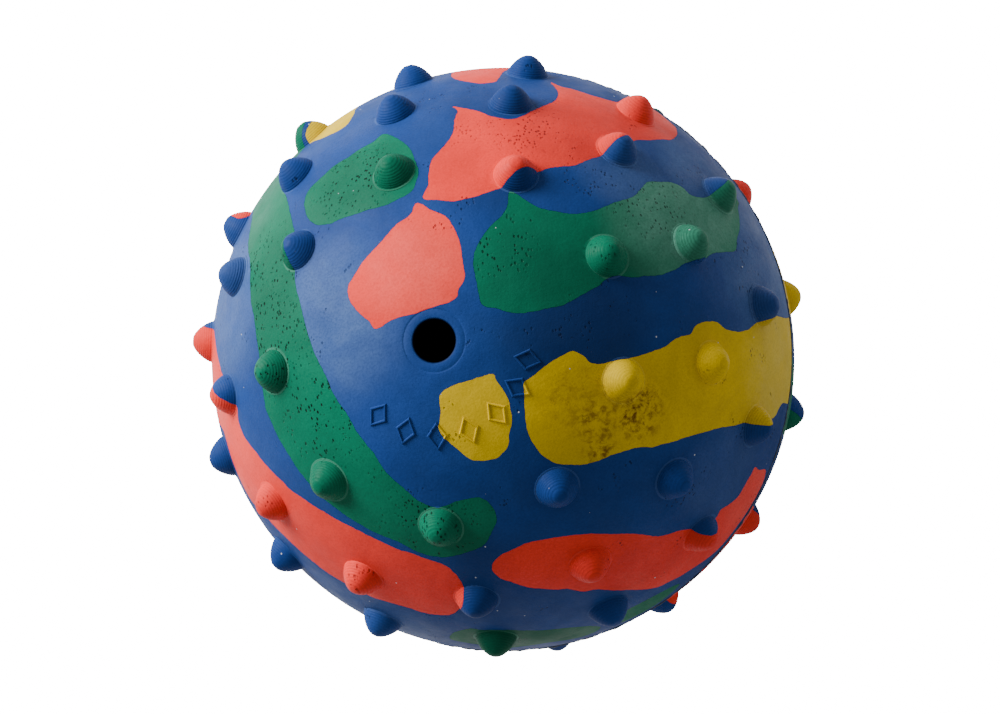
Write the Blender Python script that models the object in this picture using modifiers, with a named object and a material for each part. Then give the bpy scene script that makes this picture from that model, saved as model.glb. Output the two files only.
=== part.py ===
"""Hollow rubber dog ball with studs, inlaid colour patches and a loose bell.

Metres. The origin is the ball's centre, +Z leaves through the front hole, and +Y passes close
to the front half's first stud of each ring. The ball is moulded in two halves that meet at
Z = 0. The rear half has the same form as the front one, turned over and set a little out of
line with it, with its own patches.

A patch's outline is a list of points on a flat map of its half: degrees away from the
hole's axis, measured towards +X and towards +Y.
"""

from math import acos, atan2, cos, degrees, hypot, pi, radians, sin, sqrt

import bmesh
import bpy
from mathutils import Matrix, Vector

# Ball
BALL_RADIUS = 0.0375
WALL = 0.008
LAND_RADIUS = 0.004
HOLE_RADIUS = 0.0027
GAP = 0.0003
SEAM_THICKNESS = 0.0006
SEAM_PROUD = 0.0003
REAR_TWIST = 4.5

# Studs: (degrees from the hole's axis, number in the ring, degrees of the first one past +Y)
STUD_RINGS = ((36, 9, 1.5), (55, 13, 0.5), (72, 15, -1.5))
STUD_HEIGHT = 0.0025
STUD_FOOT_RADIUS = 0.00265
STUD_WAIST_RADIUS = 0.0022
STUD_WAIST_HEIGHT = 0.0015
STUD_TIP_RADIUS = 0.00125
STUD_ROOT = 0.0008

# Patches: the block that cuts one out reaches past the studs, and is bent along the map's grid
PATCH_THICKNESS = 0.0015
CUTTER_TOP = BALL_RADIUS + STUD_HEIGHT + 0.0015
MAP_EDGE = 90
MAP_STEP = 10

# Bell
BELL_RADIUS = 0.010
BELL_SHEET = 0.0008
BELL_FLANGE = 0.001
BELL_DROP = 0.0175
SLOT_WIDTH = 0.0016
SLOT_REACH = 0.0065
SLOT_END_RADIUS = 0.0015
SLOT_CUT_HEIGHT = 0.014
LOOP_RADIUS = 0.0022
LOOP_WIRE = 0.0006
PELLET_RADIUS = 0.0022
PELLET_DROP = 0.0055

# Facets: steps round an axis, and pieces along an arc
BALL_STEPS = 36
BALL_ARC_PIECES = 9
CAVITY_STEPS = 24
CAVITY_ARC_PIECES = 6
STUD_STEPS = 8
BELL_STEPS = 20
BELL_ARC_PIECES = 5
SLOT_END_STEPS = 12
LOOP_ARC_PIECES = 8
LOOP_WIRE_STEPS = 2
PELLET_STEPS = 12
PELLET_ROWS = 8

# Looks: (colour, roughness, metallic)
LOOKS = {
    "blue_rubber": ((0.035, 0.09, 0.35), 0.6, 0.0),
    "green_rubber": ((0.01, 0.24, 0.14), 0.6, 0.0),
    "red_rubber": ((0.68, 0.12, 0.08), 0.6, 0.0),
    "yellow_rubber": ((0.5, 0.34, 0.0), 0.6, 0.0),
    "seam_cement": ((0.01, 0.015, 0.03), 0.7, 0.0),
    "bell_nickel": ((0.6, 0.58, 0.54), 0.3, 1.0),
    "pellet_steel": ((0.35, 0.35, 0.36), 0.4, 1.0),
}

FRONT_PATCHES = {
    "green_top": [
        (-22.5, 38), (-19, 42.5), (-9, 46), (-3, 48.5), (2, 42.5), (4, 35), (2, 30), (-5, 29),
        (-17, 30), (-21.5, 34),
    ],
    "yellow_top": [
        (-30, 68), (-25, 62), (-19, 59), (-14, 59), (-13, 65), (-15, 76), (-20, 82), (-28, 80),
    ],
    "red_top": [
        (4.5, 28), (8, 26), (18, 25.5), (28, 28), (40, 30), (46, 32.5), (51, 35.5), (59, 37),
        (65, 41), (68, 47), (66, 57), (60, 62), (52, 53), (45, 53), (36.5, 58), (36, 51),
        (31, 46.5), (25, 43.5), (18.5, 47.5), (12.5, 51.5), (12, 43), (7.5, 37),
    ],
    "red_crown": [
        (12.5, 70), (15, 64), (21, 60), (24, 63), (26.5, 72), (26.5, 78), (20, 84), (12, 80),
    ],
    "red_centre": [
        (1, 25), (4.5, 24.5), (8, 22), (9, 17), (8.5, 10), (6, 6.5), (-1, 6), (-10, 5.5),
        (-14, 12.5), (-13, 16), (-5, 22),
    ],
    "red_rim": [(-51, 51), (-48, 57), (-52.5, 62), (-57, 57)],
    "green_side": [
        (20.5, 24), (16, 18.5), (11, 13), (10.5, 4), (16, 0.5), (25, 0), (34, 3), (45, 1.5),
        (52, 3), (60, 4.5), (67, 5), (74, 14), (78, 21), (74, 26), (65, 19.5), (60, 19.5),
        (56, 22.5), (50, 23), (45, 20), (38, 17.5), (32, 17), (25, 20),
    ],
    "yellow_side": [
        (13.5, -12), (18, -10.5), (24, -9), (27, -12.5), (40, -13), (48, -12), (53, -10),
        (58, -13), (66, -14), (76, -12.5), (92, -16), (85, -38), (70, -38), (58, -35.5),
        (49, -33.5), (30, -31), (15, -29), (11.5, -22),
    ],
    "yellow_centre": [(-2, -9), (8, -9), (10, -14), (8, -21), (4, -24), (-1, -22), (-4, -16)],
    "red_low": [
        (-5.5, -46), (-1, -43.5), (6, -43), (15, -45.5), (25, -50), (33, -54.5), (42, -57.5),
        (48, -56), (55, -55.5), (61, -50), (67, -55), (66, -60), (56, -69), (44, -73),
        (30, -72.5), (24, -70.5), (13, -62), (4, -57), (-4, -51),
    ],
    "green_low": [
        (-29.5, -69), (-24, -64), (-19, -64), (-10, -68.5), (0, -73.5), (6, -77), (8, -82),
        (0, -84), (-9, -80), (-19.5, -78.5), (-25, -73),
    ],
    "green_edge": [(14, -80), (17, -76.5), (28, -76), (33, -78), (31, -81), (24, -84.5), (14, -85)],
    "red_side": [
        (-68, 28), (-62, 24), (-57.5, 13), (-54, 6.5), (-53.5, 0), (-49, -10), (-43, -18),
        (-38, -24), (-30, -31), (-22, -37.5), (-16, -42), (-14, -47), (-17, -54), (-24, -57),
        (-34, -52), (-47, -42), (-55, -29), (-66, -19), (-66, 0), (-78, 10), (-76, 26),
    ],
    "green_band": [
        (-33, 59), (-31.5, 48.5), (-27.5, 41), (-25, 32), (-25, 10), (-22, -4), (-18.5, -17),
        (-14, -28), (-8, -30.5), (-1, -30.5), (0, -34), (-4, -40), (-13, -41), (-23, -33.5),
        (-31, -26), (-36, -19), (-40, -6), (-39.5, 28), (-43, 46), (-45.5, 53), (-42, 62),
        (-36, 67),
    ],
}

REAR_PATCHES = {
    "green_side": [
        (32, 87), (40, 62), (38, 50), (42, 41), (52, 37), (61, 38), (75, 52), (60, 69), (46, 80),
    ],
    "red_side": [
        (91, 28), (78, 34), (55, 30), (44, 26), (34, 30), (27, 24), (30, 16), (42, 12),
        (56, 14), (92, 10),
    ],
    "yellow_side": [
        (92, 1), (92, -17), (78, -19), (66, -19), (42, -13), (33, -5), (37, 3), (50, 1), (64, 4),
    ],
    "green_low": [
        (87, -32), (77, -51), (66, -50), (41, -40), (31, -31), (34, -22), (44, -27), (62, -39.5),
    ],
    "red_low": [
        (56, -73), (38, -84), (18, -91), (15.5, -80), (15.5, -72), (23, -67), (42, -58),
    ],
    "yellow_low": [
        (-24, -80), (-40, -69), (-40, -59), (-29, -56), (-17, -50), (-7, -40), (2, -45), (0, -56),
        (-12, -61), (-22, -66),
    ],
    "red_band": [
        (-62, -68), (-79, -47), (-72, -35), (-46, -41), (-34, -36), (-24, -26), (-14, -30),
        (-20, -42), (-46, -54),
    ],
    "green_band": [
        (-84, -22), (-86, -8), (-78, 0), (-64, -2), (-50, 4), (-30, 22), (-18, 26), (-14, 18),
        (-30, -6), (-42, -16), (-58, -19),
    ],
    "red_crown": [
        (-81, 32), (-66, 56), (-54, 51), (-30, 44), (-18, 50), (-7, 45), (-9, 35), (-22, 33),
        (-36, 28), (-66, 23),
    ],
    "yellow_top": [(-48, 78), (-26, 88), (-10, 84), (-8, 73), (-14, 62), (-42, 64)],
    "yellow_centre": [(-2, -10), (6, -12), (12, -20), (8, -29), (-2, -28), (-10, -18)],
}


def clear_scene():
    for thing in list(bpy.data.objects):
        bpy.data.objects.remove(thing, do_unlink=True)
    for collection in list(bpy.data.collections):
        bpy.data.collections.remove(collection)


def make_collection(name):
    collection = bpy.data.collections.new(name)
    bpy.context.scene.collection.children.link(collection)
    return collection


def make_material(name, colour, roughness, metallic):
    material = bpy.data.materials.new(name)
    material.use_nodes = True
    shader = material.node_tree.nodes["Principled BSDF"]
    shader.inputs["Base Color"].default_value = (*colour, 1)
    shader.inputs["Roughness"].default_value = roughness
    shader.inputs["Metallic"].default_value = metallic
    material.diffuse_color = (*colour, 1)
    return material


def new_object(name, mesh, collection):
    thing = bpy.data.objects.new(name, mesh)
    collection.objects.link(thing)
    return thing


def as_cutter(thing):
    thing.hide_render = True
    thing.display_type = "WIRE"
    return thing


def apply_modifiers(thing):
    """Replaces the object's mesh by the one its modifiers make."""
    evaluated = thing.evaluated_get(bpy.context.evaluated_depsgraph_get())
    mesh = bpy.data.meshes.new_from_object(evaluated)
    thing.modifiers.clear()
    thing.data = mesh
    return thing


def boolean(thing, other, operation):
    cut = thing.modifiers.new(operation.lower(), "BOOLEAN")
    cut.operation = operation
    cut.solver = "EXACT"
    if isinstance(other, bpy.types.Collection):
        cut.operand_type = "COLLECTION"
        cut.collection = other
    else:
        cut.object = other
    return thing


def turned(name, profile, steps, collection):
    """A solid turned round Z from (radius, height) points that run down its outer side."""
    mesh = bpy.data.meshes.new(name)
    corners = [(radius, 0, height) for radius, height in profile]
    edges = [(i, i + 1) for i in range(len(corners) - 1)]
    if profile[0][0] > 0:
        edges.append((len(corners) - 1, 0))
    mesh.from_pydata(corners, edges, [])
    thing = new_object(name, mesh, collection)
    screw = thing.modifiers.new("turn", "SCREW")
    screw.axis = "Z"
    screw.steps = steps
    screw.render_steps = steps
    screw.use_merge_vertices = True
    screw.merge_threshold = 0.000001
    screw.use_normal_calculate = False
    return apply_modifiers(thing)


def arc(radius, first, last, pieces):
    """(radius, height) points on a circle about the origin, by degrees from +Z."""
    angles = [radians(first + (last - first) * i / pieces) for i in range(pieces + 1)]
    return [(radius * sin(a), radius * cos(a)) for a in angles]


def direction(x, y):
    """Unit vector of a map point."""
    tilt = radians(hypot(x, y))
    heading = atan2(y, x)
    return Vector((sin(tilt) * cos(heading), sin(tilt) * sin(heading), cos(tilt)))


def map_point(vector):
    tilt = degrees(acos(vector.z))
    reach = hypot(vector.x, vector.y)
    return (tilt * vector.x / reach, tilt * vector.y / reach)


def grown(outline, distance):
    """An outline moved outwards by a distance on the ball's surface."""
    after = outline[1:] + outline[:1]
    area = sum(p[0] * q[1] - q[0] * p[1] for p, q in zip(outline, after))
    outward = -1 if area > 0 else 1
    points = [direction(x, y) for x, y in outline]
    count = len(points)
    moved = []
    for i, here in enumerate(points):
        first = outward * points[i - 1].cross(here).normalized()
        second = outward * here.cross(points[(i + 1) % count]).normalized()
        shift = (first + second) / (1 + first.dot(second))
        moved.append(map_point((here + shift * distance / BALL_RADIUS).normalized()))
    return moved


def bent_block(name, outline, floor, collection):
    """The outline's solid, bent round the ball, from the floor's radius to past the studs."""
    curve = bpy.data.curves.new(name, "CURVE")
    curve.dimensions = "2D"
    curve.fill_mode = "BOTH"
    spline = curve.splines.new("POLY")
    spline.points.add(len(outline) - 1)
    for point, (x, y) in zip(spline.points, outline):
        point.co = (x, y, 0, 1)
    spline.use_cyclic_u = True
    flat = new_object(name + "_outline", curve, collection)
    bpy.context.view_layer.update()
    evaluated = flat.evaluated_get(bpy.context.evaluated_depsgraph_get())
    mesh = bpy.data.meshes.new_from_object(evaluated)
    bpy.data.objects.remove(flat)

    shape = bmesh.new()
    shape.from_mesh(mesh)
    bmesh.ops.remove_doubles(shape, verts=shape.verts, dist=0.001)
    for line in range(-MAP_EDGE, MAP_EDGE + 1, MAP_STEP):
        for axis in (Vector((1, 0, 0)), Vector((0, 1, 0))):
            everything = shape.verts[:] + shape.edges[:] + shape.faces[:]
            bmesh.ops.bisect_plane(
                shape, geom=everything, dist=0.01, plane_co=axis * line, plane_no=axis
            )
    bmesh.ops.triangulate(shape, faces=shape.faces[:])
    for vertex in shape.verts:
        vertex.co = direction(vertex.co.x, vertex.co.y) * floor
    top = bmesh.ops.extrude_face_region(shape, geom=shape.faces[:])["geom"]
    for part in top:
        if isinstance(part, bmesh.types.BMVert):
            part.co *= CUTTER_TOP / floor
    bmesh.ops.recalc_face_normals(shape, faces=shape.faces[:])
    shape.to_mesh(mesh)
    shape.free()
    return as_cutter(new_object(name, mesh, collection))


def join(things):
    """Joins the objects into the first one, each with its place applied to its mesh."""
    shape = bmesh.new()
    for thing in things:
        mesh = thing.data.copy()
        mesh.transform(thing.matrix_world)
        shape.from_mesh(mesh)
        bpy.data.meshes.remove(mesh)
    for thing in things[1:]:
        bpy.data.objects.remove(thing)
    shape.to_mesh(things[0].data)
    shape.free()
    things[0].matrix_world = Matrix()
    return things[0]


def studs(collection):
    """All studs of the front half, as one object of separate solids."""
    profile = [
        (0, STUD_HEIGHT),
        (STUD_TIP_RADIUS, STUD_HEIGHT),
        (STUD_WAIST_RADIUS, STUD_WAIST_HEIGHT),
        (STUD_FOOT_RADIUS, 0),
        (STUD_FOOT_RADIUS, -STUD_ROOT),
        (0, -STUD_ROOT),
    ]
    pattern = turned("stud", profile, STUD_STEPS, collection)
    copies = []
    for tilt, count, turn in STUD_RINGS:
        for place in range(count):
            heading = 90 + turn - 360 / count * place
            out = direction(tilt * cos(radians(heading)), tilt * sin(radians(heading)))
            copy = new_object("stud_copy", pattern.data, collection)
            copy.location = out * BALL_RADIUS
            copy.rotation_euler = out.to_track_quat("Z", "Y").to_euler()
            copies.append(copy)
    bpy.data.objects.remove(pattern)
    copies[0].data = copies[0].data.copy()
    bpy.context.view_layer.update()
    return as_cutter(join(copies))


def studded_half(collection):
    """The front half as a solid without its cavity, with every stud on it."""
    seam_height = SEAM_THICKNESS / 2 + GAP
    land_tilt = degrees(acos(sqrt(1 - (LAND_RADIUS / BALL_RADIUS) ** 2)))
    seam_tilt = degrees(acos(seam_height / BALL_RADIUS))
    side = arc(BALL_RADIUS, land_tilt, seam_tilt, BALL_ARC_PIECES)
    profile = [(0, side[0][1])] + side + [(0, seam_height)]
    half = turned("studded_half", profile, BALL_STEPS, collection)
    boolean(half, studs(collection), "UNION")
    return as_cutter(apply_modifiers(half))


def cavity(collection):
    """The hollow and the hole into it."""
    inner = BALL_RADIUS - WALL
    hole_tilt = degrees(acos(sqrt(1 - (HOLE_RADIUS / inner) ** 2)))
    top = BALL_RADIUS + STUD_HEIGHT
    side = arc(inner, hole_tilt, 90, CAVITY_ARC_PIECES)
    profile = [(0, top), (HOLE_RADIUS, top)] + side + [(inner, -WALL), (0, -WALL)]
    return as_cutter(turned("cavity", profile, CAVITY_STEPS, collection))


def turn_over(thing):
    """Mirrors an object's mesh in the seam plane."""
    thing.data = thing.data.copy()
    thing.data.transform(Matrix.Scale(-1, 4, (0, 0, 1)))
    thing.data.flip_normals()


def make_half(side, patches, form, hollow, materials, parts, cutters):
    """One blue half with its pockets, and its patches, each named for its colour and place."""
    pockets = make_collection(side + "_pockets")
    shell = new_object(side + "_shell", form.data.copy(), parts)
    shell.data.materials.clear()
    shell.data.materials.append(materials["blue_rubber"])
    made = [shell]
    floor = BALL_RADIUS - PATCH_THICKNESS
    for patch_name, outline in patches.items():
        name = side + "_" + patch_name
        colour = patch_name.split("_")[0]
        bent_block(name + "_pocket", grown(outline, GAP / 2), floor - GAP / 2, pockets)
        block = bent_block(name + "_block", grown(outline, -GAP / 2), floor + GAP / 2, cutters)
        patch = new_object(name, form.data.copy(), parts)
        patch.data.materials.clear()
        patch.data.materials.append(materials[colour + "_rubber"])
        boolean(patch, block, "INTERSECT")
        made.append(apply_modifiers(patch))
    boolean(shell, hollow, "DIFFERENCE")
    boolean(shell, pockets, "DIFFERENCE")
    apply_modifiers(shell)
    if side == "rear":
        for thing in made:
            turn_over(thing)
            thing.data.transform(Matrix.Rotation(radians(REAR_TWIST), 4, "Z"))


def make_seam_ring(materials, parts):
    inner = BALL_RADIUS - WALL
    outer = BALL_RADIUS + SEAM_PROUD
    half = SEAM_THICKNESS / 2
    rim = [(outer - half, half), (outer, 0), (outer - half, -half)]
    profile = [(inner, half)] + rim + [(inner, -half)]
    ring = turned("seam_ring", profile, BALL_STEPS, parts)
    ring.data.materials.append(materials["seam_cement"])


def cup_profile():
    """Half a bell: a dome of sheet with a flange at its rim, from the top down and back inside."""
    rim = GAP / 2
    inner = BELL_RADIUS - BELL_SHEET
    flange_top = rim + BELL_SHEET
    edge = degrees(acos(flange_top / BELL_RADIUS))
    inner_edge = degrees(acos(rim / inner))
    flange = [(BELL_RADIUS + BELL_FLANGE, flange_top), (BELL_RADIUS + BELL_FLANGE, rim)]
    outside = arc(BELL_RADIUS, 0, edge, BELL_ARC_PIECES)
    inside = arc(inner, inner_edge, 0, BELL_ARC_PIECES)
    return outside + flange + inside


def move_into(thing, collection):
    for owner in list(thing.users_collection):
        owner.objects.unlink(thing)
    collection.objects.link(thing)


def cut_slots(cup, cutters):
    """The bell's slot across its bottom, with a round end on each side."""
    bpy.ops.mesh.primitive_cube_add(size=1, location=(0, 0, -BELL_RADIUS))
    slot = bpy.context.object
    slot.scale = (2 * SLOT_REACH, SLOT_WIDTH, SLOT_CUT_HEIGHT)
    tools = [slot]
    for side in (-1, 1):
        bpy.ops.mesh.primitive_cylinder_add(
            vertices=SLOT_END_STEPS,
            radius=SLOT_END_RADIUS,
            depth=SLOT_CUT_HEIGHT,
            location=(side * SLOT_REACH, 0, -BELL_RADIUS),
        )
        tools.append(bpy.context.object)
    for tool in tools:
        tool.name = "bell_slot"
        move_into(as_cutter(tool), cutters)
        boolean(cup, tool, "DIFFERENCE")
    bpy.context.view_layer.update()
    apply_modifiers(cup)


def make_loop(parts):
    """The bell's wire loop: two feet on the dome and a round top."""
    foot = sqrt(BELL_RADIUS**2 - LOOP_RADIUS**2) + GAP
    top = foot + LOOP_RADIUS
    points = [(-LOOP_RADIUS, 0, foot)]
    for i in range(LOOP_ARC_PIECES + 1):
        angle = pi * (1 - i / LOOP_ARC_PIECES)
        points.append((LOOP_RADIUS * cos(angle), 0, top + LOOP_RADIUS * sin(angle)))
    points.append((LOOP_RADIUS, 0, foot))
    curve = bpy.data.curves.new("bell_loop", "CURVE")
    curve.dimensions = "3D"
    curve.bevel_depth = LOOP_WIRE
    curve.bevel_resolution = LOOP_WIRE_STEPS
    curve.use_fill_caps = True
    spline = curve.splines.new("POLY")
    spline.points.add(len(points) - 1)
    for point, place in zip(spline.points, points):
        point.co = (*place, 1)
    return new_object("bell_loop", curve, parts)


def make_bell(materials, parts, cutters):
    """The bell, which turns about the ball's centre, and the pellet, about the bell's."""
    bell_pivot = new_object("bell_pivot", None, parts)
    upper = turned("bell_upper_cup", cup_profile(), BELL_STEPS, parts)
    lower = turned("bell_lower_cup", cup_profile(), BELL_STEPS, parts)
    turn_over(lower)
    cut_slots(lower, cutters)
    loop = make_loop(parts)
    for piece in (upper, lower, loop):
        piece.data.materials.append(materials["bell_nickel"])
        piece.location = (0, 0, -BELL_DROP)
        piece.parent = bell_pivot

    pellet_pivot = new_object("pellet_pivot", None, parts)
    pellet_pivot.location = (0, 0, -BELL_DROP)
    pellet_pivot.parent = bell_pivot
    bpy.ops.mesh.primitive_uv_sphere_add(
        segments=PELLET_STEPS, ring_count=PELLET_ROWS, radius=PELLET_RADIUS
    )
    pellet = bpy.context.object
    pellet.name = "bell_pellet"
    move_into(pellet, parts)
    pellet.data.materials.append(materials["pellet_steel"])
    pellet.location = (0, 0, -PELLET_DROP)
    pellet.parent = pellet_pivot


def shade(parts):
    for thing in parts.objects:
        if thing.type == "MESH":
            thing.data.shade_smooth()
            thing.data.set_sharp_from_angle(angle=radians(30))


def main():
    clear_scene()
    parts = make_collection("Rubber_Dog_Ball")
    cutters = make_collection("Cutters")
    materials = {name: make_material(name, *look) for name, look in LOOKS.items()}
    form = studded_half(cutters)
    hollow = cavity(cutters)
    make_half("front", FRONT_PATCHES, form, hollow, materials, parts, cutters)
    make_half("rear", REAR_PATCHES, form, hollow, materials, parts, cutters)
    make_seam_ring(materials, parts)
    make_bell(materials, parts, cutters)
    shade(parts)


main()
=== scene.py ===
"""Looks of the studded rubber dog ball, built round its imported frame.

The frame has the ball's centre at its origin, +Z out of the front hole and +Y close to the first
stud of each ring. A patch's outline is a list of points on a flat map of its half: degrees away
from the hole's axis, measured towards +X and towards +Y.
"""

from math import acos, atan2, cos, degrees, hypot, pi, radians, sin, sqrt
from random import Random

import bmesh
import bpy
from mathutils import Matrix, Vector, noise


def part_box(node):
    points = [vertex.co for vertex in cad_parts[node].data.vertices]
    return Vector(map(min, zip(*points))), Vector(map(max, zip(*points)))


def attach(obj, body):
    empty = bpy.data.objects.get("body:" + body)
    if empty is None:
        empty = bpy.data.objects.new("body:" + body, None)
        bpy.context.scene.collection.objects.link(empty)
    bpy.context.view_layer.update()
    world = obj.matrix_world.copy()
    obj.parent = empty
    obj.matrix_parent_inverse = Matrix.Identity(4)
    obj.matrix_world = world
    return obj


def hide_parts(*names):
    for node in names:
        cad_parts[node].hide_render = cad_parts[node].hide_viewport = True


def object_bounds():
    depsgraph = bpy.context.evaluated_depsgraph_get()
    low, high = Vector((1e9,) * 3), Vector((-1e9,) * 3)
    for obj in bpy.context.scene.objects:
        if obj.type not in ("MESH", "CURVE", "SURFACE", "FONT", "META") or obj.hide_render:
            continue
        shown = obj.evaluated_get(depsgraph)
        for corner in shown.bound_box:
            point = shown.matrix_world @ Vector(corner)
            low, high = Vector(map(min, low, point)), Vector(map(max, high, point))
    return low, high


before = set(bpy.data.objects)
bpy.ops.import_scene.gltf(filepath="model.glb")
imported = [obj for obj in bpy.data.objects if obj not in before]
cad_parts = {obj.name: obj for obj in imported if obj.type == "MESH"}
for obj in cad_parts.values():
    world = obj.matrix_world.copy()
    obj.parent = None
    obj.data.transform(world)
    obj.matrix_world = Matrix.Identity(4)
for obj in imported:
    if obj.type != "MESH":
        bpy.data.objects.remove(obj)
cad_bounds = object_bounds()

MM = 0.001

# Ball
SEAM_PROUD = 0.3 * MM
SEAM_HALF = 0.2 * MM
REAR_TWIST = 4.5
BALL_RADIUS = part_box("seam_ring")[1].x - SEAM_PROUD
LAND_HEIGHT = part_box("front_shell")[1].z
LAND_RADIUS = sqrt(BALL_RADIUS**2 - LAND_HEIGHT**2)
WALL = 8 * MM
HOLE_RADIUS = 2.55 * MM
HOLE_FILLET = 0.3 * MM
HOLE_FILLET_STEPS = 5
LAND_GROOVE = 0.04 * MM
BALL_STEPS = 360
BALL_ARC_PIECES = 84
CAVITY_ARC_PIECES = 12
SEAM_STEPS = 720
SHARP_ANGLE = 35

# Studs: (degrees from the hole's axis, number in the ring, degrees of the first one past +Y)
STUD_RINGS = ((36, 9, 1.5), (55, 13, 0.5), (72, 15, -1.5))
STUD_HEIGHT = 2.5 * MM
STUD_FOOT_RADIUS = 2.7 * MM
STUD_COLLAR_RADIUS = 2.95 * MM
STUD_ROOT = 0.8 * MM
STUD_STEPS = 40
STUD_LEAN = 1.2
GROOVES = 9
GROOVE_ROWS = 5
GROOVE_DEPTH = 0.04 * MM

# Patches
PATCH_THICKNESS = 1.5 * MM
PATCH_CLEARANCE = 0.015 * MM
BLOCK_TOP = BALL_RADIUS + STUD_HEIGHT + 1.5 * MM
MAP_EDGE = 90
MAP_STEP = 6
NOISE_SEED = 1
OUTLINE_SPACING = 0.5
OUTLINE_WANDER = 0.35

# Raised marks on an arc below the front hole
MARK_TILT = 17.5
MARK_HEADINGS = (-146, -126, -106, -86, -66, -46, -28)
MARK_LENGTH = 1.55 * MM
MARK_WIDTH = 1.1 * MM
MARK_STROKE = 0.24 * MM
MARK_SINK = 0.04 * MM

# View and light: map degrees of the camera's direction, and a lamp's turn and lean from the view
CAMERA_PLACE = (11.2, -6.87)
CAMERA_ROLL = 75.1
CAMERA_DISTANCE = 12 * BALL_RADIUS
CAMERA_LENS = 125.5
CAMERA_SENSOR = 36
BALL_RIGHT_OF_MIDDLE = 0.0031
BALL_BELOW_MIDDLE = 0.0020
BACKGROUND_GLOW = 18.0
SKY_STRENGTH = 0.42
KEY_TURN = 148
KEY_LEAN = 74
KEY_DISTANCE = 0.8
KEY_SIZE = 0.5
KEY_POWER = 17
FLOOR_SIZE = 1.5

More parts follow.
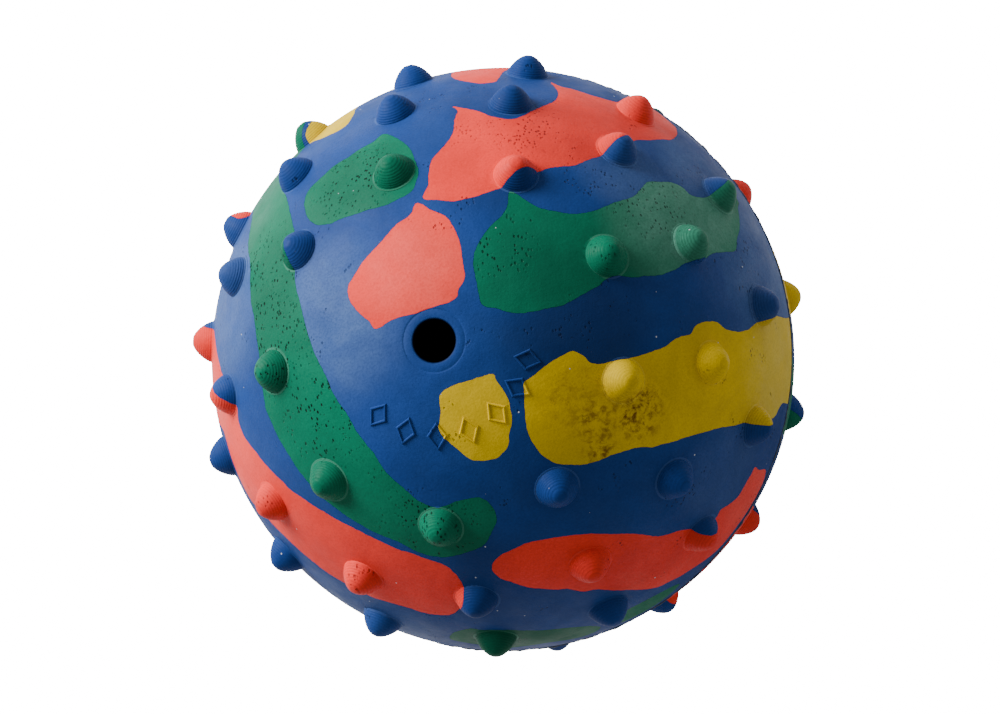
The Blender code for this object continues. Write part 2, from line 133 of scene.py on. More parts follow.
FRONT_PATCHES = {
    "green_top": [
        (-22.5, 38), (-21.5, 41), (-19, 42.5), (-15, 44.5), (-9.5, 46), (-5.5, 47), (-3, 48.5),
        (0, 45.5), (2, 42.5), (3.5, 38.5), (4, 35), (3.5, 32.5), (2, 30), (-2, 29), (-5, 29),
        (-11, 29.5), (-17, 30), (-19.5, 31), (-21.5, 34),
    ],
    "yellow_top": [
        (-24, 69.5), (-25, 66), (-27, 63), (-26, 62), (-24.5, 61.5), (-22, 60), (-19, 59),
        (-16.5, 58.5), (-14, 59), (-13, 61), (-13, 65), (-14, 69), (-15, 76), (-18, 82),
        (-22, 79), (-23, 73),
    ],
    "red_top": [
        (4, 28), (6.5, 26.5), (11, 25), (18, 25.5), (22, 26.5), (28, 28), (34, 28.5), (40, 30),
        (43, 31.5), (46, 32.5), (49, 34), (51, 35.5), (55, 36), (59, 37), (62, 38), (65, 41),
        (67, 44), (68, 47), (67, 52), (66, 57), (60, 62), (56, 57), (52, 52), (50, 51.5),
        (46, 52.5), (41, 55.5), (38, 56.5), (36, 59), (36.5, 54), (36, 51), (34.5, 48.5),
        (31, 46.5), (25, 43.5), (20.5, 45.5), (18.5, 47.5), (15, 50), (12.5, 51.5), (13.5, 49.5),
        (13, 47), (12, 43), (10.5, 40), (7.5, 37), (6, 34), (5.5, 30.5),
    ],
    "red_crown": [
        (12, 71), (13, 67), (15, 64), (17, 62), (19, 60.5), (21, 60), (23, 60.5), (24, 63),
        (25, 67), (26.5, 72), (27, 78), (20, 84), (13, 80),
    ],
    "red_centre": [
        (3, 27), (5, 25), (8, 22), (9, 18), (9, 14), (8.5, 10), (7, 8), (5, 6), (-6, 6),
        (-10, 5.5), (-11, 7), (-13, 10), (-14, 13), (-13, 16), (-8, 20), (-5, 22), (-2, 24),
        (1, 25), (2, 26.5),
    ],
    "red_rim": [(-57, 56), (-51, 51), (-48.5, 49.5), (-47.5, 52), (-48, 55.5), (-52.5, 62)],
    "green_side": [
        (20.5, 24.5), (19, 21), (16, 18.5), (12.5, 15.5), (11, 13), (10.5, 9), (10.5, 4),
        (12.5, 2.5), (16, 0.5), (21, 0), (25, 0), (31, 1.5), (35, 3), (40, 2), (45, 1.5),
        (49, 2), (52, 3), (57, 3.5), (60, 4.5), (67, 5), (70, 8), (74, 14), (76, 18), (78, 21),
        (74, 26), (70, 23), (65, 19.5), (60, 19.5), (58, 21.5), (55, 23), (50, 23), (48, 22),
        (45, 19.5), (41, 18.5), (37, 17.5), (32, 17), (28, 18.5), (25, 20), (23, 22),
    ],
    "yellow_side": [
        (13.5, -12), (15, -11.5), (19, -10), (23, -9), (24, -9), (25.5, -10.5), (26.5, -12),
        (30, -13), (40, -13), (45, -12), (48.5, -12), (50, -10.5), (53, -10),
        (56, -11), (58, -13), (62, -14), (66, -14), (70, -13), (77, -12.5), (84, -14),
        (92, -16), (85, -38), (76, -37), (70, -39), (62, -36.5), (58, -35.5), (53, -34.5),
        (49, -33.5), (45, -33), (40, -32.5), (34, -32), (30, -31), (20, -30.5), (15, -29),
        (13, -27), (12, -25), (11.5, -22), (12, -18), (13, -14),
    ],
    "yellow_centre": [
        (-1, -9), (8, -9), (9, -10.5), (10, -14), (9.5, -18), (8, -20.5), (7, -22.5),
        (4, -24), (0, -23), (-3, -19), (-4, -16), (-3, -13),
    ],
    "red_low": [
        (-5.5, -46), (-3, -44), (0, -43.5), (5, -43), (10, -44), (15, -45.5), (20, -47.5),
        (25, -50), (30, -53.5), (35, -55), (38, -56), (42, -57.5), (46, -57.5), (47.5, -56),
        (50, -56), (54, -55.5), (57, -53), (59, -51.5), (61, -50), (63, -52), (67, -55),
        (66, -60), (62, -64), (55, -69), (48, -73), (44, -73.5), (34, -73),
        (30, -72.5), (27, -72), (24, -70.5), (21, -68), (17, -65), (13, -62), (10, -61),
        (7, -58.5), (4, -57), (0, -54.5), (-4, -51), (-5.5, -49),
    ],
    "green_low": [
        (-29.5, -69), (-28, -66), (-24, -64), (-20, -63.5), (-18, -65), (-15, -66), (-10, -68),
        (-5, -71), (0, -73), (5, -76), (7, -78), (8, -81), (5, -84), (0, -84), (-8, -80.5),
        (-19.5, -79), (-24, -74), (-27, -71.5),
    ],
    "green_edge": [
        (14, -80), (16, -77), (20, -76), (28, -76), (33, -77.5), (32, -80), (28, -83), (22, -85),
        (14, -85),
    ],
    "red_side": [
        (-68, 28), (-64, 26), (-61, 22), (-58, 15), (-57, 12), (-55, 9.5), (-53, 6.5),
        (-52, 2.5), (-53, -0.5), (-52, -5), (-49, -10), (-46, -14), (-43, -18), (-40, -21),
        (-37, -24), (-33, -27.5), (-30, -30), (-26, -33.5), (-22, -37), (-18, -40),
        (-15, -42.5), (-14, -45), (-13.5, -47.5), (-14, -50), (-15, -52), (-17, -54),
        (-19, -56), (-22, -57), (-25, -56.5), (-28, -55), (-32, -52), (-39, -48), (-47, -40.5),
        (-50, -37), (-53, -33), (-58, -26), (-62, -21), (-66, -18), (-67, -8), (-66, 0),
        (-75, 6), (-80, 16), (-76, 26), (-71, 31),
    ],
    "green_band": [
        (-26, 66), (-28, 63), (-31, 58), (-32, 54), (-31.5, 48.5), (-29, 44.5), (-27.5, 41),
        (-26.5, 38), (-25.5, 34), (-24.5, 30), (-24.5, 26), (-25.5, 22), (-25.5, 18), (-25, 13),
        (-24.5, 8), (-23, 0), (-22, -4), (-20.5, -9), (-18.5, -16), (-17, -21), (-15, -25),
        (-13, -28), (-10, -30), (-3, -30), (-1, -31), (0, -34), (-1, -37), (-4, -40), (-8, -41),
        (-13, -41), (-16, -40), (-19, -38), (-22, -35), (-26, -31.5), (-29, -28.5), (-32, -25),
        (-34, -22.5), (-36, -19), (-38, -14), (-39.5, -9), (-40.5, -5), (-41, -1), (-40.5, 1),
        (-39, 12), (-39, 18), (-39.5, 22), (-39.5, 29), (-40, 33), (-41, 35.5), (-42, 40),
        (-43, 46.5), (-45.5, 52), (-44, 57), (-43, 63), (-40, 70), (-34, 75), (-24.5, 76),
        (-25, 70),
    ],
}

REAR_PATCHES = {
    "green_side": [
        (32, 87), (35, 73), (40, 62), (38, 50), (42, 41), (52, 37), (61, 38), (67, 46), (75, 52),
        (60, 69), (46, 80),
    ],
    "red_side": [
        (91, 28), (78, 34), (66, 32), (55, 30), (44, 26), (34, 30), (27, 24), (30, 16), (42, 12),
        (56, 14), (70, 12), (92, 10),
    ],
    "yellow_side": [
        (92, 1), (92, -17), (78, -19), (66, -19), (54, -15), (42, -13), (33, -5), (37, 3),
        (50, 1), (64, 4), (78, 2),
    ],
    "green_low": [
        (87, -32), (77, -51), (66, -50), (54, -45), (41, -40), (31, -31), (34, -22), (44, -27),
        (54, -35), (62, -39.5), (74, -36),
    ],
    "red_low": [
        (56, -73), (38, -84), (18, -91), (16, -84), (15.5, -76), (16, -71), (23, -67),
        (33, -61), (42, -58), (50, -64),
    ],
    "yellow_low": [
        (-24, -80), (-32, -76), (-40, -69), (-40, -59), (-29, -56), (-17, -50), (-7, -40),
        (2, -45), (0, -56), (-12, -61), (-22, -66), (-23, -73),
    ],
    "red_band": [
        (-62, -68), (-79, -47), (-72, -35), (-58, -37), (-46, -41), (-34, -36), (-24, -26),
        (-14, -30), (-20, -42), (-32, -50), (-46, -54),
    ],
    "green_band": [
        (-84, -22), (-86, -8), (-78, 0), (-64, -2), (-50, 4), (-40, 14), (-30, 22), (-18, 26),
        (-14, 18), (-22, 8), (-30, -6), (-42, -16), (-58, -19), (-72, -24),
    ],
    "red_crown": [
        (-81, 32), (-66, 56), (-54, 51), (-42, 46), (-30, 44), (-18, 50), (-7, 45), (-9, 35),
        (-22, 33), (-36, 28), (-50, 26), (-66, 23),
    ],
    "yellow_top": [
        (-48, 78), (-26, 88), (-10, 84), (-8, 73), (-14, 62), (-28, 60), (-42, 64),
    ],
    "yellow_centre": [
        (-2, -10), (6, -12), (12, -20), (8, -29), (-2, -28), (-10, -18),
    ],
}


# Mesh tools

def new_object(name, data):
    """An object in the scene with the given mesh or curve."""
    thing = bpy.data.objects.new(name, data)
    bpy.context.scene.collection.objects.link(thing)
    return thing


def apply_modifiers(thing):
    """Replaces the object's mesh by the one its modifiers make."""
    evaluated = thing.evaluated_get(bpy.context.evaluated_depsgraph_get())
    mesh = bpy.data.meshes.new_from_object(evaluated)
    thing.modifiers.clear()
    thing.data = mesh
    return thing


def as_mesh(thing):
    """Replaces a curve object by a mesh object with its shape."""
    bpy.context.view_layer.update()
    evaluated = thing.evaluated_get(bpy.context.evaluated_depsgraph_get())
    mesh = bpy.data.meshes.new_from_object(evaluated)
    made = new_object(thing.name, mesh)
    bpy.data.objects.remove(thing)
    return made


def boolean(thing, other, operation):
    """Cuts, joins or keeps what is common, by the other object."""
    cut = thing.modifiers.new(operation.lower(), "BOOLEAN")
    cut.operation = operation
    cut.solver = "MANIFOLD"
    cut.object = other
    return apply_modifiers(thing)


def turned(name, profile, steps):
    """A solid turned round Z from (radius, height) points that run down its outer side."""
    mesh = bpy.data.meshes.new(name)
    edges = [(i, i + 1) for i in range(len(profile) - 1)]
    if profile[0][0] > 0:
        edges.append((len(profile) - 1, 0))
    mesh.from_pydata([(radius, 0, height) for radius, height in profile], edges, [])
    thing = new_object(name, mesh)
    screw = thing.modifiers.new("turn", "SCREW")
    screw.steps = steps
    screw.render_steps = steps
    screw.use_merge_vertices = True
    screw.merge_threshold = 0.0000005
    return apply_modifiers(thing)


def arc(radius, first, last, pieces):
    """(radius, height) points on a circle about the origin, by degrees from +Z."""
    angles = [radians(first + (last - first) * i / pieces) for i in range(pieces + 1)]
    return [(radius * sin(a), radius * cos(a)) for a in angles]


def join(things):
    """Joins the objects into the first one, each with its place applied to its mesh."""
    bpy.context.view_layer.update()
    shape = bmesh.new()
    for thing in things:
        mesh = thing.data.copy()
        mesh.transform(thing.matrix_world)
        shape.from_mesh(mesh)
        bpy.data.meshes.remove(mesh)
    for thing in things[1:]:
        bpy.data.objects.remove(thing)
    things[0].data = things[0].data.copy()
    shape.to_mesh(things[0].data)
    shape.free()
    things[0].matrix_world = Matrix()
    return things[0]


def shade(thing, sharp_angle):
    """Smooth shading, broken at edges sharper than the angle in degrees."""
    thing.data.shade_smooth()
    thing.data.set_sharp_from_angle(angle=radians(sharp_angle))


def turn_over(thing):
    """Mirrors an object's mesh in the seam plane."""
    thing.data.transform(Matrix.Scale(-1, 4, (0, 0, 1)))
    thing.data.flip_normals()


# Places on the ball

def direction(x, y):
    """Unit vector of a map point."""
    tilt = radians(hypot(x, y))
    heading = atan2(y, x)
    return Vector((sin(tilt) * cos(heading), sin(tilt) * sin(heading), cos(tilt)))


def map_point(vector):
    """Map point of a unit vector."""
    tilt = degrees(acos(vector.z))
    reach = hypot(vector.x, vector.y)
    return (tilt * vector.x / reach, tilt * vector.y / reach)


def stand_on_ball(tilt, heading, spin=0.0, lean=(0.0, 0.0)):
    """Matrix that stands a piece on the ball, by degrees from +Z and anticlockwise from +X."""
    out = direction(tilt * cos(radians(heading)), tilt * sin(radians(heading)))
    matrix = Matrix.Translation(out * BALL_RADIUS)
    matrix @= Matrix.Rotation(radians(heading), 4, "Z") @ Matrix.Rotation(radians(tilt), 4, "Y")
    matrix @= Matrix.Rotation(radians(lean[0]), 4, "X") @ Matrix.Rotation(radians(lean[1]), 4, "Y")
    return matrix @ Matrix.Rotation(radians(spin), 4, "Z")


# Outlines

def smooth_outline(points, seed):
    """A closed smooth curve through the map points, with small wanderings of its own."""
    count = len(points)
    curve = []
    for i in range(count):
        before, start, end, after = (Vector(points[(i + k) % count]) for k in (-1, 0, 1, 2))
        pieces = max(2, round((end - start).length / OUTLINE_SPACING))
        for step in range(pieces):
            t = step / pieces
            bend = 2 * start + (end - before) * t
            bend += (2 * before - 5 * start + 4 * end - after) * t**2
            bend += (3 * start - before - 3 * end + after) * t**3
            curve.append(bend / 2)
    wandered = []
    for x, y in curve:
        slow = noise.noise_vector(Vector((x * 0.22, y * 0.22, seed)))
        fast = noise.noise_vector(Vector((x * 1.2, y * 1.2, seed + 40)))
        shift = slow * OUTLINE_WANDER + fast * OUTLINE_WANDER * 0.4
        wandered.append((x + shift.x, y + shift.y))
    return wandered


def grown(outline, distance):
    """An outline moved outwards by a distance on the ball's surface."""
    after = outline[1:] + outline[:1]
    area = sum(p[0] * q[1] - q[0] * p[1] for p, q in zip(outline, after))
    outward = -1 if area > 0 else 1
    points = [direction(x, y) for x, y in outline]
    count = len(points)
    moved = []
    for i, here in enumerate(points):
        first = outward * points[i - 1].cross(here).normalized()
        second = outward * here.cross(points[(i + 1) % count]).normalized()
        shift = (first + second) / (1 + first.dot(second))
        moved.append(map_point((here + shift * distance / BALL_RADIUS).normalized()))
    return moved


def bent_block(name, outline, floor):
    """The outline's solid, bent round the ball, from the floor's radius to past the studs."""
    curve = bpy.data.curves.new(name, "CURVE")
    curve.dimensions = "2D"
    curve.fill_mode = "BOTH"
    spline = curve.splines.new("POLY")
    spline.points.add(len(outline) - 1)
    for point, (x, y) in zip(spline.points, outline):
        point.co = (x, y, 0, 1)
    spline.use_cyclic_u = True
    flat = as_mesh(new_object(name + "_outline", curve))
    mesh = flat.data
    bpy.data.objects.remove(flat)

    shape = bmesh.new()
    shape.from_mesh(mesh)
    bmesh.ops.remove_doubles(shape, verts=shape.verts, dist=0.0005)
    for line in range(-MAP_EDGE, MAP_EDGE + 1, MAP_STEP):
        for axis in ((1, 0, 0), (0, 1, 0)):
            everything = shape.verts[:] + shape.edges[:] + shape.faces[:]
            place = Vector(axis) * line
            bmesh.ops.bisect_plane(shape, geom=everything, dist=0.002, plane_co=place, plane_no=axis)
    bmesh.ops.triangulate(shape, faces=shape.faces[:])
    for vertex in shape.verts:
        vertex.co = direction(vertex.co.x, vertex.co.y) * floor
    extruded = bmesh.ops.extrude_face_region(shape, geom=shape.faces[:])["geom"]
    for part in extruded:
        if isinstance(part, bmesh.types.BMVert):
            part.co *= BLOCK_TOP / floor
    bmesh.ops.recalc_face_normals(shape, faces=shape.faces[:])
    shape.to_mesh(mesh)
    shape.free()
    return new_object(name, mesh)


# Shapes

def half_profile():
    """Section of one half of the ball, from the hole's mouth down the outside and back inside."""
    land_tilt = degrees(acos(LAND_HEIGHT / BALL_RADIUS))
    seam_tilt = degrees(acos(SEAM_HALF / BALL_RADIUS))
    inner = BALL_RADIUS - WALL
    hole_tilt = degrees(acos(sqrt(1 - (HOLE_RADIUS / inner) ** 2)))
    mouth = []
    for i in range(HOLE_FILLET_STEPS + 1):
        angle = radians(90 * i / HOLE_FILLET_STEPS)
        reach = HOLE_RADIUS + HOLE_FILLET * (1 - cos(angle))
        mouth.append((reach, LAND_HEIGHT - HOLE_FILLET * (1 - sin(angle))))
    groove = [
        (LAND_RADIUS - 0.34 * MM, LAND_HEIGHT),
        (LAND_RADIUS - 0.26 * MM, LAND_HEIGHT - LAND_GROOVE),
        (LAND_RADIUS - 0.20 * MM, LAND_HEIGHT - LAND_GROOVE),
        (LAND_RADIUS - 0.12 * MM, LAND_HEIGHT - 0.005 * MM),
    ]
    outside = arc(BALL_RADIUS, land_tilt, seam_tilt, BALL_ARC_PIECES)
    inside = arc(inner, 90, hole_tilt, CAVITY_ARC_PIECES)
    return mouth + groove + outside + [(inner, SEAM_HALF)] + inside[1:]


def stud_profile(groove_phase):
    """Section of a stud: a blunt dome with fine turning marks, and a thin collar at its foot."""
    points = [(0, STUD_HEIGHT), (0.25 * MM, STUD_HEIGHT - 0.008 * MM)]
    rows = GROOVES * GROOVE_ROWS
    for i in range(rows + 1):
        lift = 0.985 * (1 - i / rows)
        reach = STUD_FOOT_RADIUS * (1 - (lift / 1.03) ** 1.3) ** 0.55
        turn = 0.5 + 0.5 * cos(2 * pi * GROOVES * lift + groove_phase)
        reach -= GROOVE_DEPTH * turn**3
        points.append((reach, STUD_HEIGHT * lift - 0.03 * MM * (1 - lift)))
    points += [
        (STUD_FOOT_RADIUS + 0.03 * MM, -0.065 * MM),
        (STUD_COLLAR_RADIUS - 0.05 * MM, -0.075 * MM),
        (STUD_COLLAR_RADIUS, -0.10 * MM),
        (STUD_COLLAR_RADIUS, -STUD_ROOT),
        (0, -STUD_ROOT),
    ]
    return points


def make_studs(seed):
    """Every stud of one half, with the small differences that hand-cut moulds leave."""
    dice = Random(seed)
    patterns = [turned("stud", stud_profile(phase), STUD_STEPS) for phase in (0.0, 1.6, 3.4, 4.9)]
    copies = []
    for tilt, count, turn in STUD_RINGS:
        for place in range(count):
            copy = new_object("stud_copy", dice.choice(patterns).data)
            lean = (dice.uniform(-STUD_LEAN, STUD_LEAN), dice.uniform(-STUD_LEAN, STUD_LEAN))
            heading = 90 + turn - 360 / count * place
            stand = stand_on_ball(tilt, heading, dice.uniform(0, 360), lean)
            copy.matrix_world = stand @ Matrix.Scale(dice.uniform(0.96, 0.995), 4)
            copies.append(copy)
    for pattern in patterns:
        bpy.data.objects.remove(pattern)
    return join(copies)


def make_marks():
    """Small raised diamonds in a row on an arc."""
    marks = []
    for heading in MARK_HEADINGS:
        curve = bpy.data.curves.new("mark", "CURVE")
        curve.dimensions = "3D"
        curve.bevel_depth = MARK_STROKE
        curve.bevel_resolution = 3
        spline = curve.splines.new("POLY")
        corners = ((MARK_LENGTH, 0), (0, MARK_WIDTH), (-MARK_LENGTH, 0), (0, -MARK_WIDTH))
        spline.points.add(len(corners) - 1)
        for point, (x, y) in zip(spline.points, corners):
            point.co = (x, y, -MARK_SINK, 1)
        spline.use_cyclic_u = True
        mark = as_mesh(new_object("mark", curve))
        mark.matrix_world = stand_on_ball(MARK_TILT, heading)
        marks.append(mark)
    return join(marks)


def make_half(side, patches, materials, seed):
    """One half of the ball: its blue shell, and each patch let into it."""
    form = turned(side + "_form", half_profile(), BALL_STEPS)
    studs = make_studs(seed)
    boolean(form, studs, "UNION")
    bpy.data.objects.remove(studs)
    if side == "front":
        marks = make_marks()
        boolean(form, marks, "UNION")
        bpy.data.objects.remove(marks)

    shell = new_object(side + "_shell_skin", form.data.copy())
    pieces = [(shell, side + "_shell", "blue")]
    for number, (name, points) in enumerate(patches.items()):
        outline = smooth_outline(points, seed + number * 7)
        floor = BALL_RADIUS - PATCH_THICKNESS
        pocket = bent_block(name + "_pocket", grown(outline, PATCH_CLEARANCE), floor)
        block = bent_block(name + "_block", grown(outline, -PATCH_CLEARANCE), floor)
        boolean(shell, pocket, "DIFFERENCE")
        patch = new_object(side + "_" + name + "_skin", form.data.copy())
        boolean(patch, block, "INTERSECT")
        pieces.append((patch, side + "_" + name, name.split("_")[0]))
        bpy.data.objects.remove(pocket)
        bpy.data.objects.remove(block)
    bpy.data.objects.remove(form)

    for piece, node, colour in pieces:
        if side == "rear":
            turn_over(piece)
            piece.data.transform(Matrix.Rotation(radians(REAR_TWIST), 4, "Z"))
        piece.data.materials.clear()
        piece.data.materials.append(materials[colour])
        shade(piece, SHARP_ANGLE)
        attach(piece, "ball")
        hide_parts(node)


def make_seam(materials):
    """The dark line of cement squeezed out between the halves, with an uneven rim."""
    inner = BALL_RADIUS - WALL
    outer = BALL_RADIUS
    profile = [
        (inner, SEAM_HALF), (outer - 0.3 * MM, SEAM_HALF), (outer, SEAM_HALF * 0.9),
        (outer + 0.1 * MM, SEAM_HALF * 0.5), (outer + 0.14 * MM, 0),
        (outer + 0.1 * MM, -SEAM_HALF * 0.5), (outer, -SEAM_HALF * 0.9),
        (outer - 0.3 * MM, -SEAM_HALF), (inner, -SEAM_HALF),
    ]
    ring = turned("seam_flash", profile, SEAM_STEPS)
    for vertex in ring.data.vertices:
        reach = vertex.co.xy.length
        if reach > outer - 0.1 * MM:
            here = vertex.co.normalized()
            rag = noise.noise(here * 22) * 0.12 + noise.noise(here * 75 + Vector((9, 4, 1))) * 0.1
            vertex.co *= 1 + rag * MM / outer
            vertex.co.z += noise.noise(here * 30 + Vector((3, 8, 5))) * 0.1 * MM
    ring.data.materials.append(materials["cement"])
    shade(ring, 60)
    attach(ring, "ball")
    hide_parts("seam_ring")


# Materials

class Nodes:
    """Short calls for building one material's node tree."""

    def __init__(self, name):
        self.material = bpy.data.materials.new(name)
        self.material.use_nodes = True
        self.tree = self.material.node_tree
        self.shader = self.tree.nodes["Principled BSDF"]
        self.place = self.tree.nodes.new("ShaderNodeTexCoord").outputs["Object"]

    def link(self, source, target):
        """Links an output to an input."""
        self.tree.links.new(source, target)

    def feed(self, value, socket):
        """Gives a socket a number, a colour or another node's output."""
        if isinstance(value, tuple):
            socket.default_value = (*value, 1)
        elif isinstance(value, (int, float)):
            socket.default_value = value
        else:
            self.link(value, socket)

    def noise(self, size, detail=3.0, roughness=0.55, distortion=0.0, offset=(0, 0, 0)):
        """A noise with features of about the given size in metres."""
        shift = self.tree.nodes.new("ShaderNodeMapping")
        shift.inputs["Location"].default_value = offset
        self.link(self.place, shift.inputs["Vector"])
        node = self.tree.nodes.new("ShaderNodeTexNoise")
        node.inputs["Scale"].default_value = 1 / size
        node.inputs["Detail"].default_value = detail
        node.inputs["Roughness"].default_value = roughness
        node.inputs["Distortion"].default_value = distortion
        self.link(shift.outputs["Vector"], node.inputs["Vector"])
        return node.outputs["Fac"]

    def cells(self, size, offset=(0, 0, 0), squeeze=(1, 1, 1)):
        """Distance to the nearest of scattered points, in units of the given size."""
        shift = self.tree.nodes.new("ShaderNodeMapping")
        shift.inputs["Location"].default_value = offset
        shift.inputs["Scale"].default_value = squeeze
        self.link(self.place, shift.inputs["Vector"])
        node = self.tree.nodes.new("ShaderNodeTexVoronoi")
        node.inputs["Scale"].default_value = 1 / size
        self.link(shift.outputs["Vector"], node.inputs["Vector"])
        return node.outputs["Distance"]

    def span(self, value, low, high, to_low=0.0, to_high=1.0):
        """Maps the value smoothly from low..high to another range."""
        node = self.tree.nodes.new("ShaderNodeMapRange")
        node.interpolation_type = "SMOOTHSTEP"
        node.inputs["From Min"].default_value = low
        node.inputs["From Max"].default_value = high
        node.inputs["To Min"].default_value = to_low
        node.inputs["To Max"].default_value = to_high
        self.link(value, node.inputs["Value"])
        return node.outputs["Result"]

    def maths(self, operation, first, second=None):
        """Result of an operation on one or two values."""
        node = self.tree.nodes.new("ShaderNodeMath")
        node.operation = operation
        self.feed(first, node.inputs[0])
        if second is not None:
            self.feed(second, node.inputs[1])
        return node.outputs["Value"]

    def mix(self, share, first, second):
        """Colour between the first and the second, by the share of the second."""
        node = self.tree.nodes.new("ShaderNodeMix")
        node.data_type = "RGBA"
        self.feed(share, node.inputs["Factor"])
        self.feed(first, node.inputs["A"])
        self.feed(second, node.inputs["B"])
        return node.outputs["Result"]

    def height(self):
        """Height in metres above the ball's own surface."""
        node = self.tree.nodes.new("ShaderNodeVectorMath")
        node.operation = "LENGTH"
        self.link(self.place, node.inputs[0])
        return self.maths("SUBTRACT", node.outputs["Value"], BALL_RADIUS)

    def reach(self):
        """Distance in metres from the holes' axis."""
        node = self.tree.nodes.new("ShaderNodeVectorMath")
        node.operation = "MULTIPLY"
        node.inputs[1].default_value = (1, 1, 0)
        self.link(self.place, node.inputs[0])
        size = self.tree.nodes.new("ShaderNodeVectorMath")
        size.operation = "LENGTH"
        self.link(node.outputs["Vector"], size.inputs[0])
        return size.outputs["Value"]

    def distance(self, point):
        """Distance in metres from a point of the object."""
        node = self.tree.nodes.new("ShaderNodeVectorMath")
        node.operation = "DISTANCE"
        node.inputs[1].default_value = point
        self.link(self.place, node.inputs[0])
        return node.outputs["Value"]

    def near(self, places):
        """The strength of the strongest of some (point, radius, strength) places, fading outwards."""
        strongest = 0.0
        for point, radius, strength in places:
            fade = self.span(self.distance(point), 0.3 * radius, radius, strength, 0.0)
            strongest = self.maths("MAXIMUM", fade, strongest)
        return strongest

    def bump(self, layers):
        """Bumps from (height, depth in metres) layers."""
        normal = None
        for height, depth in layers:
            node = self.tree.nodes.new("ShaderNodeBump")
            node.inputs["Strength"].default_value = 1.0
            node.inputs["Distance"].default_value = depth
            self.link(height, node.inputs["Height"])
            if normal is not None:
                self.link(normal, node.inputs["Normal"])
            normal = node.outputs["Normal"]
        self.link(normal, self.shader.inputs["Normal"])


def shift_colour(colour, factor):
    """The colour made lighter or darker by a factor."""
    return tuple(min(1.0, part * factor) for part in colour)


def make_rubber(name, colour, dust_and_sheen_colour, dust_and_sheen=(), haze=0.05, painted_shade=(), pits=(), smudges=()):
    """Matt moulded rubber: mottled and speckled; about some places dusty with painted sheen, darkened
    by painted shade, pitted or soiled.

    Each place is (point, radius, strength).
    """
    made = Nodes(name)
    shader = made.shader
    height = made.height()
    on_stud = made.span(height, 0.12 * MM, 0.5 * MM)

    mottle = made.noise(9 * MM, 4, 0.6, 0.4)
    dark, light = shift_colour(colour, 0.85), shift_colour(colour, 1.12)
    base = made.mix(made.span(mottle, 0.3, 0.7), dark, light)
    # Painted shade: the colour darkened about the listed places to stand for shade.
    base = made.mix(made.near(painted_shade), base, shift_colour(colour, 0.3))
    # Lighter film: partly real dust, partly painted sheen and glare on the ball's rim and lit side.
    cloud = made.span(made.noise(5 * MM, 5, 0.62, 0.5, (0.3, 0.1, 0.7)), 0.3, 0.7, 0.55, 1.0)
    dust_and_sheen_film = made.maths("MULTIPLY", made.maths("MAXIMUM", made.near(dust_and_sheen), haze), cloud)
    dust_and_sheen_film = made.maths("MULTIPLY", dust_and_sheen_film, made.span(on_stud, 0.0, 1.0, 1.0, 0.35))
    base = made.mix(dust_and_sheen_film, base, dust_and_sheen_colour)
    grain = made.noise(0.28 * MM, 2)
    base = made.mix(made.span(grain, 0.35, 0.75, 0.0, 0.3), base, shift_colour(colour, 0.6))

    # Darker rings in the colour at the turning marks' pitch, on the studs.
    rings = made.maths("SINE", made.maths("MULTIPLY", height, 2 * pi / (0.28 * MM)))
    ring_darkening = made.maths("MULTIPLY", made.span(rings, 0.2, 1.0, 0.0, 0.24), on_stud)
    base = made.mix(ring_darkening, base, shift_colour(colour, 0.5))
    foot_in = made.span(height, 0.008 * MM, 0.02 * MM)
    foot_out = made.span(height, 0.05 * MM, 0.1 * MM, 1.0, 0.0)
    foot_line = made.maths("MULTIPLY", made.maths("MULTIPLY", foot_in, foot_out), 0.25)
    base = made.mix(foot_line, base, shift_colour(dust_and_sheen_colour, 1.3))

    blot = made.span(made.noise(1.1 * MM, 6, 0.72, 0.3), 0.42, 0.66)
    base = made.mix(made.maths("MULTIPLY", made.near(smudges), blot), base, (0.13, 0.05, 0.004))

    # Pits: near-black spots in the colour, painted shade in the pinholes, also dented by the bump.
    spots = made.span(made.cells(0.45 * MM, (0.2, 0.4, 0.1), (1.0, 0.6, 1.0)), 0.34, 0.2)
    cluster = made.span(made.noise(1.8 * MM, 3, 0.6, 0.0, (0.6, 0.2, 0.9)), 0.44, 0.54)
    stray = made.span(made.noise(6 * MM, 2, 0.6, 0.0, (0.7, 0.3, 0.2)), 0.58, 0.64, 0.0, 0.6)
    where = made.maths("MULTIPLY", made.maths("MAXIMUM", made.near(pits), stray), cluster)
    holes = made.maths("MULTIPLY", spots, where)
    base = made.mix(holes, base, shift_colour(colour, 0.1))

    lint = made.span(made.cells(2.6 * MM, (0.8, 0.5, 0.3)), 0.05, 0.03)
    windblown = made.span(made.noise(7 * MM, 1, 0.5, 0.0, (0.1, 0.9, 0.4)), 0.48, 0.55)
    base = made.mix(made.maths("MULTIPLY", lint, windblown), base, (0.5, 0.52, 0.55))

    # Painted shade: the hole's mouth and bore darkened to near black.
    painted_bore_shade = made.span(made.reach(), HOLE_RADIUS + 0.02 * MM, HOLE_RADIUS + HOLE_FILLET, 1.0, 0.0)
    base = made.mix(painted_bore_shade, base, shift_colour(colour, 0.04))
    made.link(base, shader.inputs["Base Color"])

    patchy = made.noise(5 * MM, 3, 0.6, 0.0, (0.4, 0.8, 0.2))
    made.link(made.span(patchy, 0.3, 0.7, 0.45, 0.6), shader.inputs["Roughness"])
    shader.inputs["Specular IOR Level"].default_value = 0.05
    lift = made.noise(1.4 * MM, 4, 0.6)
    hollow = made.maths("SUBTRACT", 1.0, holes)
    made.bump([(lift, 0.05 * MM), (grain, 0.02 * MM), (hollow, 0.12 * MM)])
    return made.material


def make_cement():
    """The seam's dark cement."""
    made = Nodes("seam_cement")
    blotch = made.noise(1.5 * MM, 4)
    colour = made.mix(blotch, (0.004, 0.008, 0.02), (0.02, 0.04, 0.09))
    made.link(colour, made.shader.inputs["Base Color"])
    made.link(made.span(blotch, 0.2, 0.8, 0.5, 0.8), made.shader.inputs["Roughness"])
    made.bump([(made.noise(0.5 * MM, 3), 0.08 * MM)])
    return made.material


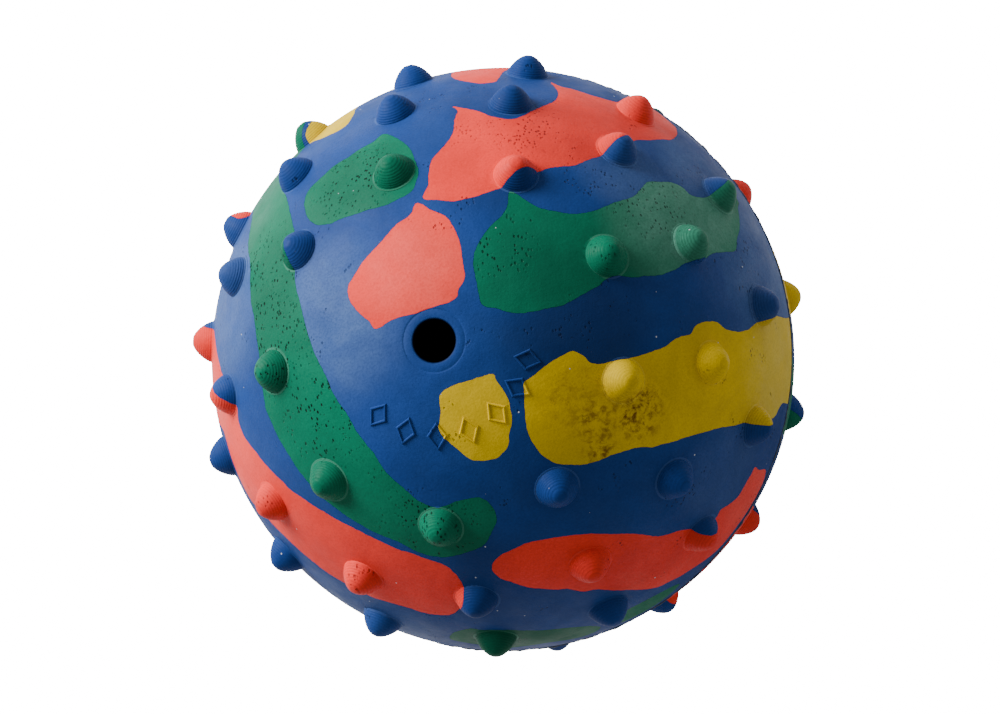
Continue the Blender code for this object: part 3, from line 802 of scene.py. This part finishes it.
def make_metal(name, colour, tarnish):
    """Plated sheet or steel, with tarnish and fine scratches."""
    made = Nodes(name)
    made.shader.inputs["Metallic"].default_value = 1.0
    stain = made.span(made.noise(2.5 * MM, 5, 0.65, 0.6), 0.45, 0.7)
    made.link(made.mix(stain, colour, tarnish), made.shader.inputs["Base Color"])
    made.link(made.span(stain, 0, 1, 0.22, 0.5), made.shader.inputs["Roughness"])
    made.bump([(made.noise(0.4 * MM, 3, 0.7), 0.015 * MM)])
    return made.material


def on_map(x, y, radius, strength):
    """A place on the front half, by map degrees, with its radius in millimetres."""
    return tuple(direction(x, y) * BALL_RADIUS), radius * MM, strength


def make_materials():
    """Every material, by a short name."""
    return {
        # The lighter places listed for each colour are partly dust and partly painted sheen near the
        # ball's rim; the darker places are painted shade.
        "blue": make_rubber(
            "blue_rubber", (0.009, 0.037, 0.170), (0.055, 0.105, 0.26), haze=0.1,
            dust_and_sheen=(on_map(-19, 10, 14, 0.95), on_map(-50, 28, 17, 0.9), on_map(-46, -58, 15, 0.5),
                  on_map(45, 26, 9, 0.8), on_map(64, 28, 10, 0.8), on_map(80, 0, 20, 0.95),
                  on_map(50, -46, 11, 0.5), on_map(-12, 62, 12, 0.3)),
            painted_shade=(on_map(26, -4, 13, 0.7), on_map(17, 28, 8, 0.5), on_map(20, 50, 7, 0.3),
                  on_map(-6, -50, 12, 0.3)),
        ),
        "green": make_rubber(
            "green_rubber", (0.0, 0.115, 0.06), (0.09, 0.25, 0.18), haze=0.02,
            dust_and_sheen=(on_map(56, 14, 15, 0.95), on_map(-42, 50, 11, 0.3)),
            painted_shade=(on_map(22, 10, 9, 0.2), on_map(-12, -75, 14, 0.6), on_map(-34, 22, 9, 0.35),
                  on_map(-10, 38, 8, 0.25)),
            pits=(on_map(-35, 24, 11, 1.0), on_map(-34, 10, 9, 1.0), on_map(-27, -6, 9, 1.0),
                  on_map(-10, 38, 8, 1.0), on_map(16, 14, 6, 0.8), on_map(48, 18, 9, 0.7),
                  on_map(-14, -34, 8, 0.9)),
        ),
        "red": make_rubber(
            "red_rubber", (0.74, 0.036, 0.026), (0.80, 0.09, 0.07),
            dust_and_sheen=(on_map(0, 14, 10, 0.7), on_map(-62, 0, 14, 0.5), on_map(60, 48, 9, 0.5),
                  on_map(60, -56, 9, 0.6)),
            painted_shade=(on_map(33, 40, 9, 0.25), on_map(10, 36, 5, 0.2)),
            pits=(on_map(27, 41, 7, 0.7), on_map(14, 42, 4, 0.4)),
        ),
        "yellow": make_rubber(
            "yellow_rubber", (0.58, 0.385, 0.001), (0.55, 0.42, 0.08),
            dust_and_sheen=(on_map(76, -26, 13, 0.6),),
            smudges=(on_map(33, -24, 5, 1.0), on_map(23, -29, 3, 0.9), on_map(25, -23, 5, 0.7),
                     on_map(22, -18, 6, 0.4)),
        ),
        "cement": make_cement(),
        "nickel": make_metal("bell_nickel", (0.62, 0.60, 0.56), (0.30, 0.26, 0.20)),
        "steel": make_metal("pellet_steel", (0.40, 0.40, 0.41), (0.20, 0.15, 0.11)),
    }


# Stage

def camera_axes():
    """Right, up and towards-the-camera, as the ball's directions."""
    toward = direction(*CAMERA_PLACE)
    side = Vector((0, 0, 1)).cross(toward).normalized()
    rise = toward.cross(side)
    roll = radians(CAMERA_ROLL)
    up = rise * cos(roll) + side * sin(roll)
    return up.cross(toward), up, toward


def make_camera():
    """The camera, far off along its direction from the ball."""
    right, up, toward = camera_axes()
    camera = bpy.data.objects.new("camera", bpy.data.cameras.new("camera"))
    bpy.context.scene.collection.objects.link(camera)
    turn = Matrix((right, up, toward)).transposed().to_4x4()
    camera.matrix_world = Matrix.Translation(toward * CAMERA_DISTANCE) @ turn
    camera.data.lens = CAMERA_LENS
    camera.data.sensor_width = CAMERA_SENSOR
    camera.data.shift_x = -BALL_RIGHT_OF_MIDDLE
    camera.data.shift_y = BALL_BELOW_MIDDLE
    camera.data.clip_start = 0.01
    bpy.context.scene.camera = camera


def make_key():
    """A large soft lamp off to the upper left of the view, facing the ball."""
    right, up, toward = camera_axes()
    aside = right * cos(radians(KEY_TURN)) + up * sin(radians(KEY_TURN))
    spot = (aside * sin(radians(KEY_LEAN)) + toward * cos(radians(KEY_LEAN))) * KEY_DISTANCE
    lamp = bpy.data.lights.new("key", "AREA")
    lamp.shape = "DISK"
    lamp.size = KEY_SIZE
    lamp.energy = KEY_POWER
    thing = bpy.data.objects.new("key", lamp)
    bpy.context.scene.collection.objects.link(thing)
    thing.location = spot
    thing.rotation_euler = spot.to_track_quat("Z", "Y").to_euler()


def glow_when_seen(tree, strength, unseen):
    """Gives the background its plain white where it is seen, and the unseen strength as light."""
    path = tree.nodes.new("ShaderNodeLightPath")
    glow = tree.nodes.new("ShaderNodeMapRange")
    glow.inputs["To Min"].default_value = unseen
    glow.inputs["To Max"].default_value = BACKGROUND_GLOW
    tree.links.new(path.outputs["Is Camera Ray"], glow.inputs["Value"])
    tree.links.new(glow.outputs["Result"], strength)


def make_stage():
    """A pale floor under the ball, soft light from all round, and the key lamp."""
    lowest = cad_bounds[0][2]
    shape = bmesh.new()
    bmesh.ops.create_grid(shape, x_segments=2, y_segments=2, size=FLOOR_SIZE)
    mesh = bpy.data.meshes.new("floor")
    shape.to_mesh(mesh)
    shape.free()
    floor = new_object("floor", mesh)
    floor.location = (0, 0, lowest)
    paint = bpy.data.materials.new("floor_paint")
    paint.use_nodes = True
    white = paint.node_tree.nodes["Principled BSDF"]
    white.inputs["Base Color"].default_value = (0.9, 0.9, 0.9, 1)
    white.inputs["Roughness"].default_value = 0.9
    white.inputs["Emission Color"].default_value = (1.0, 1.0, 1.0, 1)
    glow_when_seen(paint.node_tree, white.inputs["Emission Strength"], 0.0)
    floor.data.materials.append(paint)

    world = bpy.data.worlds.new("soft_light")
    world.use_nodes = True
    sky = world.node_tree.nodes["Background"]
    sky.inputs["Color"].default_value = (0.97, 0.99, 1.0, 1)
    glow_when_seen(world.node_tree, sky.inputs["Strength"], SKY_STRENGTH)
    bpy.context.scene.world = world
    make_key()


# noise_vector differs from run to run unless it is seeded
noise.seed_set(NOISE_SEED)
materials = make_materials()
make_half("front", FRONT_PATCHES, materials, 11)
make_half("rear", REAR_PATCHES, materials, 57)
make_seam(materials)
for node, material in (("bell_upper_cup", "nickel"), ("bell_lower_cup", "nickel"),
                       ("bell_loop", "nickel"), ("bell_pellet", "steel")):
    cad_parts[node].data.materials.clear()
    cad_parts[node].data.materials.append(materials[material])
make_stage()
make_camera()
